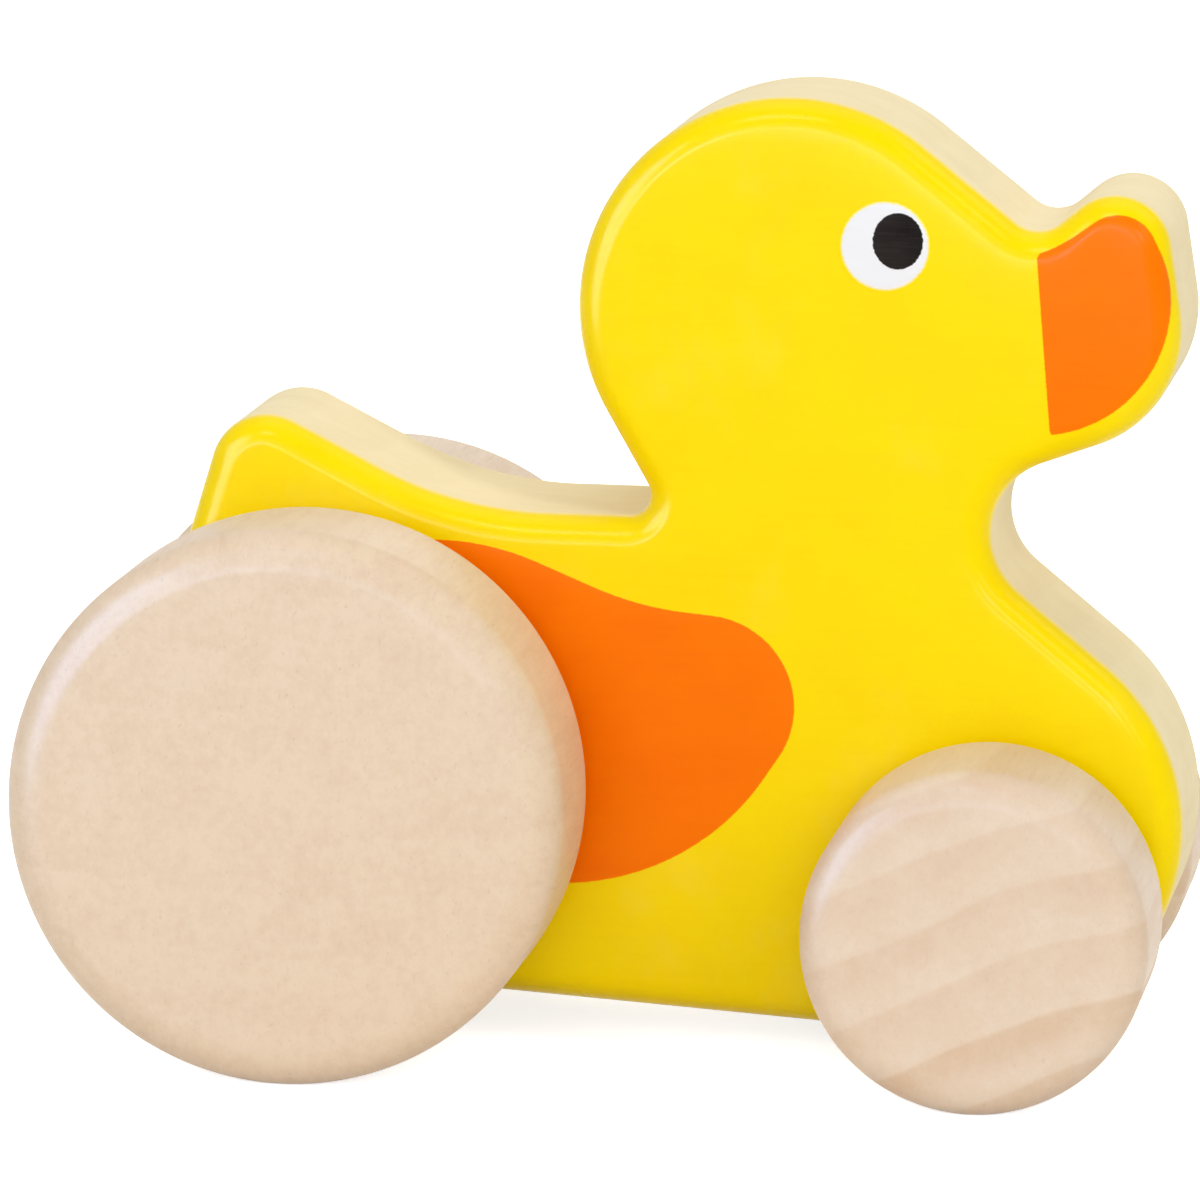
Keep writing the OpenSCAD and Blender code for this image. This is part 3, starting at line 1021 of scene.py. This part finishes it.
    def build(self) -> bpy.types.Object:
        """Builds and dresses the board.

        The section of the edge is carried round the outline: at a turn a, the ring lies width * (1 - sin a)
        inwards of the outline. Both faces are filled between the last rings and the bores.

        Returns:
            The board.
        """
        shell = Shell()
        count = len(self.outline)
        turn = np.linspace(0, math.pi / 2, self.edge_steps + 1)
        inwards = self.edge_width * (1 - np.sin(turn))
        outs = self.half_thickness - self.depth(inwards)
        middle = np.linspace(-outs[-1], outs[-1], self.middle_steps + 1)[1:-1]
        section = np.concatenate([
            np.stack([-outs, inwards], axis=1),
            np.stack([middle, np.zeros_like(middle)], axis=1),
            np.stack([outs, inwards], axis=1)[::-1]])
        rings = []
        for out, inward in section:
            flat = self.outline - inward * self.outward
            rings.append(shell.add(np.stack([flat[:, 0], np.full(count, out), flat[:, 1]], axis=1)))
        for first, second in zip(rings, rings[1:]):
            shell.join_rings(first, second, count)
        face_rim = self.outline - self.edge_width * self.outward
        holes = [ring_round(x, z, self.bore_radius, self.bore_count) for x, z in self.bores]
        points, triangles = filled([face_rim, *holes], self.face_spacing)
        inner = points[count:]
        right = shell.add(self.surface(inner, Side.RIGHT, 0.0))
        left = shell.add(self.surface(inner, Side.LEFT, 0.0))
        on_rim = triangles < count
        shell.faces.append(np.where(on_rim, rings[0] + triangles, right + triangles - count))
        shell.faces.append(np.where(on_rim, rings[-1] + triangles, left + triangles - count)[:, ::-1])
        for index in range(len(holes)):
            first = index * self.bore_count
            shell.join_rings(left + first, right + first, self.bore_count)
        obj = shell.to_object("board")
        self.finish.dress(obj)
        put_in_place(obj, Body.DUCK, ("body",))
        return obj


@dataclass
class Print:
    """Thin layer of ink on a face of the board, which follows its rounded edges."""

    rim_name = "rim"

    node: str
    outline: Array
    finish: PrintFinish
    slot: Slot
    holes: list[Array] = field(default_factory=list)
    spacing: float = 0.8
    thickness: float = 0.05
    base: float = 0.0
    sink: float = 0.03
    taper: float = 0.3
    thin_rim: float = 0.2

    def build(self, board: DuckBoard, side: Side) -> bpy.types.Object:
        """Builds and dresses the print on one side.

        The outer skin lies above the paint by base + thickness, less at its rim, and the inner skin below it.

        Args:
            board: Board that the print lies on.
            side: Face of the board.

        Returns:
            The print.
        """
        points, triangles = filled([self.outline, *self.holes], self.spacing)
        rim = distance_to_ring(points, self.outline)
        for hole in self.holes:
            rim = np.minimum(rim, distance_to_ring(points, hole))
        lift = self.base + self.thickness * np.clip(np.sqrt(rim / self.taper), self.thin_rim, 1)
        shell = Shell()
        outer = shell.add(board.surface(points, side, lift))
        inner = shell.add(board.surface(points, side, -self.sink))
        shell.faces += [outer + triangles, inner + triangles[:, ::-1]]
        first = 0
        for ring in (self.outline, *self.holes):
            pair = (outer + first, inner + first) if first == 0 else (inner + first, outer + first)
            shell.join_rings(*pair, len(ring))
            first += len(ring)
        name = f"{self.node}_{side.label}"
        obj = shell.to_object(f"{self.node}_print_{side.label}")
        attribute = obj.data.attributes.new(self.rim_name, "FLOAT", "POINT")
        attribute.data.foreach_set("value", np.concatenate([rim, rim]).astype(np.float32))
        self.finish.dress(obj)
        put_in_place(obj, Body.DUCK, (name,))
        return obj


@dataclass
class DuckPrints:
    """Wing, bill, eye and pupil, printed alike on both faces."""

    board: DuckBoard
    orange: PrintFinish = PrintFinish("orange_ink")
    white: PrintFinish = PrintFinish(
        "white_ink", ink=(0.88, 0.88, 0.9, 1.0), deep_ink=(0.85, 0.85, 0.86, 1.0),
        sheen=(1.0, 1.0, 1.0, 1.0), coat=0.06, rim=0.35)
    black: PrintFinish = PrintFinish(
        "black_ink", ink=(0.009, 0.006, 0.005, 1.0), deep_ink=(0.03, 0.024, 0.02, 1.0),
        below=(0.89, 0.89, 0.91, 1.0), sheen=(1.0, 0.75, 0.55, 1.0), gloss=0.03, coat=0.0, rim=0.12,
        streaks=0.8)
    wing_drop: float = 2.4
    wing_height: float = 32.4
    wing_reach: float = 44.8
    wing_belly_radius: float = 23.7
    wing_belly_forward: float = 22.2
    wing_front_radius: float = 8.6
    wing_front_drop: float = 14.9
    wing_dip_radius: float = 30.0
    wing_shoulder_radius: float = 25.0
    wing_shoulder_forward: float = 11.0
    wing_shoulder_room: float = 0.3
    wing_front_room: float = 0.1
    wing_rear_radius: float = 16.0
    wing_rear_forward: float = 6.0
    bill_chin: Disc = Disc(66.7, 72.3, 12.4)
    bill_tip: Disc = Disc(74.1, 77.0, 3.7)
    bill_brow: Disc = Disc(60.9, 92.0, -16.2)
    bill_cheek: Disc = Disc(50.0, 68.1, 8.0)
    bill_rear_top: tuple[float, float] = (66.6, 76.5)
    bill_rear_bottom: tuple[float, float] = (68.1, 60.0)
    bill_spacing: float = 0.35
    eye_forward: float = 9.1
    eye_rise: float = 6.5
    eye_radius: float = 4.2
    pupil_forward: float = 10.3
    pupil_rise: float = 7.0
    pupil_half_width: float = 2.42
    pupil_half_height: float = 2.68
    pupil_raggedness: float = 0.035
    pupil_waves: tuple[tuple[float, float], ...] = ((9.0, 0.0), (17.0, 1.3), (31.0, 0.4))
    rim_count: int = 160

    def wing(self) -> Array:
        """Outline of the wing.

        Returns:
            Array with a row [x, z] per point.
        """
        top = self.board.back_height - self.wing_drop
        belly = Disc(self.wing_belly_forward, top - self.wing_height + self.wing_belly_radius,
                     self.wing_belly_radius)
        front = Disc(self.wing_reach - self.wing_front_radius, top - self.wing_front_drop,
                     self.wing_front_radius)
        shoulder = Disc(self.wing_shoulder_forward, top - self.wing_shoulder_radius,
                        self.wing_shoulder_radius)
        rear = Disc(self.wing_rear_forward, top - self.wing_rear_radius, self.wing_rear_radius)
        dip = shoulder.hollow_with(self.wing_shoulder_room, front, self.wing_front_room, self.wing_dip_radius)
        points, _ = Belt((belly, front, dip, shoulder, rear)).sampled()
        return points + np.array([self.board.shift, 0.0])

    def bill(self) -> Array:
        """Outline of the bill: a belt of discs, cut off by a slanted straight line at its rear.

        Returns:
            Array with a row [x, z] per point.
        """
        discs = (self.bill_chin, self.bill_tip, self.bill_brow, self.bill_cheek)
        points, _ = Belt(discs, self.bill_spacing).sampled()
        top, bottom = np.array(self.bill_rear_top), np.array(self.bill_rear_bottom)
        across = np.array([top[1] - bottom[1], bottom[0] - top[0]])
        ahead = (points - top) @ across
        start = int(np.argmax((ahead > 0) & (np.roll(ahead, 1) <= 0)))
        points, ahead = np.roll(points, -start, axis=0), np.roll(ahead, -start)
        kept = int(np.argmax(ahead <= 0))
        corners = []
        for inside, outside in ((kept - 1, kept), (0, -1)):
            share = ahead[inside] / (ahead[inside] - ahead[outside])
            corners.append(points[inside] + share * (points[outside] - points[inside]))
        steps = math.ceil(np.linalg.norm(corners[1] - corners[0]) / self.bill_spacing)
        rear = corners[0] + np.linspace(0, 1, steps + 1)[:, None] * (corners[1] - corners[0])
        return np.concatenate([points[:kept], rear]) + np.array([self.board.shift, 0.0])

    def on_head(self, forward: float, rise: float) -> tuple[float, float]:
        """Place in the side view, given from the middle of the head."""
        return self.board.shift + self.board.head_forward + forward, self.board.head_height + rise

    def pupil(self) -> Array:
        """Outline of the pupil: an oval whose width steps in and out with height, as ink follows the grain.

        The steps are the mean of a few sine waves up the oval, each with its own rate and start.

        Returns:
            Array with a row [x, z] per point.
        """
        turn = np.arange(self.rim_count) * math.tau / self.rim_count
        rise = self.pupil_half_height * np.sin(turn)
        steps = np.mean([np.sin(rise * rate + start) for rate, start in self.pupil_waves], axis=0)
        reach = self.pupil_half_width * np.cos(turn) * (1 + self.pupil_raggedness * steps)
        x, z = self.on_head(self.pupil_forward, self.pupil_rise)
        return np.stack([x + reach, z + rise], axis=1)

    def build(self) -> list[bpy.types.Object]:
        """Builds and dresses all prints on both sides.

        Returns:
            The prints.
        """
        board = self.board
        rear_bore = ring_round(*board.bores[0], board.bore_radius, board.bore_count)
        eye = ring_round(*self.on_head(self.eye_forward, self.eye_rise), self.eye_radius, self.rim_count)
        prints = (
            Print("wing", self.wing(), self.orange, Slot.ORANGE_PRINT, [rear_bore]),
            Print("bill", self.bill(), self.orange, Slot.ORANGE_PRINT, spacing=self.bill_spacing,
                  thickness=0.06),
            Print("eye", eye, self.white, Slot.WHITE_PRINT, spacing=0.5),
            Print("pupil", self.pupil(), self.black, Slot.BLACK_PRINT, spacing=0.4, base=0.05, sink=-0.03),
        )
        return [piece.build(board, side) for side in Side for piece in prints]


# The wheels and axles


@dataclass
class WheelPair:
    """Two solid wheels on a dowel axle."""

    place: str
    body: Body
    right_finish: WheelFinish
    left_finish: WheelFinish
    dowel_finish: DowelFinish = DowelFinish("beech_dowel")
    edge_radius: float = 3.0
    edge_steps: int = 14
    crease_turn: float = 18.0
    crease_radius: float = 4.0
    crease_steps: int = 8
    bore_depth: float = 14.0
    face_steps: int = 16
    inner_face_shares: tuple[float, ...] = (0.7, 0.35)
    segments: int = 192

    def profile(self, radius: float, width: float, axle_radius: float) -> Array:
        """Half section of a wheel, from the middle of its outer face round to the bottom of its bore.

        The edge leaves the face with one arc up to the crease's turn, and a second arc goes on to the tread.

        Args:
            radius: Radius of the wheel.
            width: Width of the wheel.
            axle_radius: Radius of the bore.

        Returns:
            Array with a row [distance from the axis, distance inwards from the outer face] per point.
        """
        crease = math.radians(self.crease_turn)
        bend = np.linspace(0, crease, self.crease_steps + 1)[:-1]
        sweep = np.linspace(crease, math.pi / 2, self.edge_steps + 1)
        flat = radius - self.edge_radius * (1 - math.sin(crease)) - self.crease_radius * math.sin(crease)
        bend_depth = self.crease_radius * (1 - np.cos(bend))
        crease_depth = self.crease_radius * (1 - math.cos(crease))
        sweep_depth = crease_depth + self.edge_radius * (math.cos(crease) - np.cos(sweep))
        edge = np.concatenate([
            np.stack([flat + self.crease_radius * np.sin(bend), bend_depth], axis=1),
            np.stack([radius - self.edge_radius * (1 - np.sin(sweep)), sweep_depth], axis=1)])
        face = np.linspace(0, flat, self.face_steps + 1)[:-1]
        outer_face = np.stack([face, np.zeros_like(face)], axis=1)
        inner_edge = edge[::-1] * [1, -1] + [0, width]
        inner = axle_radius + (flat - axle_radius) * np.array(self.inner_face_shares)
        inner_face = np.stack([inner, np.full_like(inner, width)], axis=1)
        bore_end = width - self.bore_depth
        bore = np.array([[axle_radius, width], [axle_radius, bore_end], [0.0, bore_end]])
        return np.concatenate([outer_face, edge, inner_edge, inner_face, bore])

    def build_wheel(self, side: Side, finish: WheelFinish) -> bpy.types.Object:
        """Builds and dresses one wheel.

        The half section is turned about the axle: at a turn t, a distance r becomes r * (cos t, sin t).

        Args:
            side: Side of the board that the wheel stands on.
            finish: Finish of the wheel.

        Returns:
            The wheel.
        """
        node = f"{self.place}_wheel_{side.label}"
        box, axle = NodeBox.of(node), NodeBox.of(f"{self.place}_axle")
        profile = self.profile(box.half(2), 2 * box.half(1), axle.half(2))
        outer = box.low[1] if side is Side.RIGHT else box.high[1]
        shell = Shell()
        rings = []
        for reach, inwards in profile:
            y = outer - side.value * inwards
            if reach == 0:
                rings.append(shell.add(np.array([[box.middle(0), y, box.middle(2)]])))
                continue
            ring = ring_round(box.middle(0), box.middle(2), reach, self.segments)
            rings.append(shell.add(np.stack([ring[:, 0], np.full(self.segments, y), ring[:, 1]], axis=1)))
        shell.join_pole(rings[0], rings[1], self.segments, False)
        for first, second in zip(rings[1:-2], rings[2:-1]):
            shell.join_rings(second, first, self.segments)
        shell.join_pole(rings[-1], rings[-2], self.segments, True)
        obj = shell.to_object(f"{self.place}_disc_{side.label}")
        finish.dress(obj)
        put_in_place(obj, self.body, (node,))
        return obj

    def build(self) -> list[bpy.types.Object]:
        """Builds both wheels and dresses the CAD axle.

        Returns:
            The wheels and the axle.
        """
        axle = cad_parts[f"{self.place}_axle"]
        self.dowel_finish.dress(axle)
        LOG.info("%s: CAD node, dressed", axle.name)
        finishes = {Side.RIGHT: self.right_finish, Side.LEFT: self.left_finish}
        return [*(self.build_wheel(side, finish) for side, finish in finishes.items()), axle]


# The studio

COOL = (0.28, 0.5, 1.0)


@dataclass(frozen=True)
class SoftBox:
    """Rectangular studio lamp that faces the toy, or a card that only shows in its gloss, in metres."""

    name: str
    place: tuple[float, float, float]
    width: float
    height: float
    power: float
    is_card: bool = False
    colour: tuple[float, float, float] = (1.0, 1.0, 1.0)
    roll: float = 0.0
    aim: tuple[float, float, float] = (0.0, 0.0, 0.045)

    def build(self) -> bpy.types.Object:
        """Adds the lamp.

        Returns:
            The lamp's object.
        """
        lamp = bpy.data.lights.new(self.name, "AREA")
        lamp.shape = "RECTANGLE"
        lamp.size, lamp.size_y = self.width, self.height
        lamp.energy = self.power
        lamp.color = self.colour
        obj = bpy.data.objects.new(self.name, lamp)
        obj.visible_camera = False
        obj.visible_diffuse = not self.is_card
        obj.location = self.place
        turn = (Vector(self.aim) - Vector(self.place)).to_track_quat("-Z", "Y")
        obj.rotation_euler = (turn @ Quaternion((0.0, 0.0, 1.0), math.radians(self.roll))).to_euler()
        bpy.context.scene.collection.objects.link(obj)
        return obj


@dataclass
class Studio:
    """White floor, white surroundings and soft lamps."""

    floor: FloorFinish = FloorFinish("white_floor")
    floor_half: float = 4000.0
    floor_steps: int = 8
    daylight: float = 0.42
    lamps: tuple[SoftBox, ...] = (
        SoftBox("front_lamp", (-0.05, -1.15, 0.38), 0.9, 0.6, 4.3),
        SoftBox("left_strip", (-1.0, -0.6, 0.35), 0.3, 1.0, 1.5),
        SoftBox("right_strip", (0.75, -0.7, 0.6), 0.2, 0.7, 3.2),
        SoftBox("top_lamp", (0.03, 0.22, 1.2), 0.9, 0.9, 4.0),
        SoftBox("rear_lamp", (0.1, 1.15, 0.38), 0.9, 0.6, 1.8),
        SoftBox("left_card", (-0.255, -0.205, 0.13), 0.22, 0.28, 5.0, True, COOL, 25.0),
        SoftBox("low_left_card", (-0.24, -0.575, 0.125), 0.26, 0.07, 2.4, True, COOL, 34.0),
        SoftBox("low_right_card", (-0.02, -0.72, 0.11), 0.3, 0.07, 1.7, True, COOL, -29.0),
        SoftBox("high_card", (-0.1, -0.42, 0.62), 0.25, 0.16, 2.0, True, COOL),
        SoftBox("right_card", (0.285, -0.64, 0.21), 0.12, 0.12, 1.2, True, COOL),
        SoftBox("top_card", (0.5, 0.1, 0.66), 0.3, 0.3, 0.8, True, COOL),
    )

    def build_floor(self) -> bpy.types.Object:
        """Builds the floor, a flat square grid at height 0.

        Returns:
            The floor.
        """
        line = np.linspace(-self.floor_half, self.floor_half, self.floor_steps + 1)
        across, along = np.meshgrid(line, line)
        points = np.stack([across.ravel(), along.ravel(), np.zeros(across.size)], axis=1)
        index = np.arange(across.size).reshape(across.shape)
        faces = np.stack([index[:-1, :-1], index[:-1, 1:], index[1:, 1:], index[1:, :-1]], axis=-1)
        mesh = bpy.data.meshes.new("floor")
        mesh.from_pydata((points * MM).tolist(), [], faces.reshape(-1, 4).tolist())
        mesh.update()
        obj = bpy.data.objects.new("floor", mesh)
        bpy.context.scene.collection.objects.link(obj)
        self.floor.dress(obj)
        return obj

    def build_surroundings(self) -> None:
        """Makes the world white to the camera and in reflections, and dimmer as a source of light."""
        world = bpy.data.worlds.new("white_studio")
        world.use_nodes = True
        world.node_tree.nodes.clear()
        graph = Graph(world.node_tree)
        strength = graph.between(graph.seen(), self.daylight, 1.0)
        shader = graph.node("ShaderNodeBackground", {"Color": (1.0, 1.0, 1.0, 1.0), "Strength": strength})
        graph.node("ShaderNodeOutputWorld", {"Surface": shader.outputs[0]})
        bpy.context.scene.world = world

    def build(self) -> None:
        """Builds the floor, the surroundings and the lamps."""
        self.build_floor()
        self.build_surroundings()
        for lamp in self.lamps:
            lamp.build()
        bpy.context.scene.view_settings.view_transform = "Standard"
        LOG.info("studio: floor, surroundings and %d lamps", len(self.lamps))


@dataclass
class PhotoCamera:
    """Camera that stands where the photograph was taken from. Lengths are in millimetres, angles degrees."""

    azimuth: float = 8.5
    elevation: float = 9.5
    roll: float = 0.54
    distance: float = 832.0
    aim: tuple[float, float, float] = (-2.95, 0.0, 41.2)
    lens: float = 263.574
    sensor: float = 36.0
    nearest: float = 50.0
    farthest: float = 20000.0

    def build(self) -> bpy.types.Object:
        """Adds the camera and makes it the scene's own.

        Returns:
            The camera.
        """
        across, up = math.radians(self.azimuth), math.radians(self.elevation)
        back = Vector((math.sin(across) * math.cos(up), -math.cos(across) * math.cos(up), math.sin(up)))
        camera = bpy.data.cameras.new("camera")
        camera.lens = self.lens
        camera.sensor_width = self.sensor
        camera.clip_start, camera.clip_end = self.nearest * MM, self.farthest * MM
        obj = bpy.data.objects.new("camera", camera)
        roll = Matrix.Rotation(math.radians(self.roll), 4, "Z")
        turn = back.to_track_quat("Z", "Y").to_matrix().to_4x4() @ roll
        obj.matrix_world = Matrix.Translation((Vector(self.aim) + self.distance * back) * MM) @ turn
        bpy.context.scene.collection.objects.link(obj)
        bpy.context.scene.camera = obj
        LOG.info("camera: %.0f mm lens", self.lens)
        return obj


def main() -> None:
    """Builds the duck and its studio."""
    logging.basicConfig(level=logging.INFO, format="%(name)s %(message)s")
    board = DuckBoard()
    board.build()
    DuckPrints(board).build()
    WheelPair("rear", Body.REAR_WHEELSET,
              WheelFinish("rear_wheel_beech_right", (-27.0, 0.0, 190.0), rings=0.12),
              WheelFinish("rear_wheel_beech_left", (-140.0, 30.0, -60.0), rings=0.3), edge_radius=3.8).build()
    WheelPair("front", Body.FRONT_WHEELSET,
              WheelFinish("front_wheel_beech_right", (92.0, 0.0, -125.0), (0.80, 0.65, 0.50, 1.0), rings=0.7,
                          blotches=0.6, flecks=0.16),
              WheelFinish("front_wheel_beech_left", (30.0, 40.0, 120.0), rings=0.45)).build()
    Studio().build()
    PhotoCamera().build()


if __name__ == "__main__":
    main()
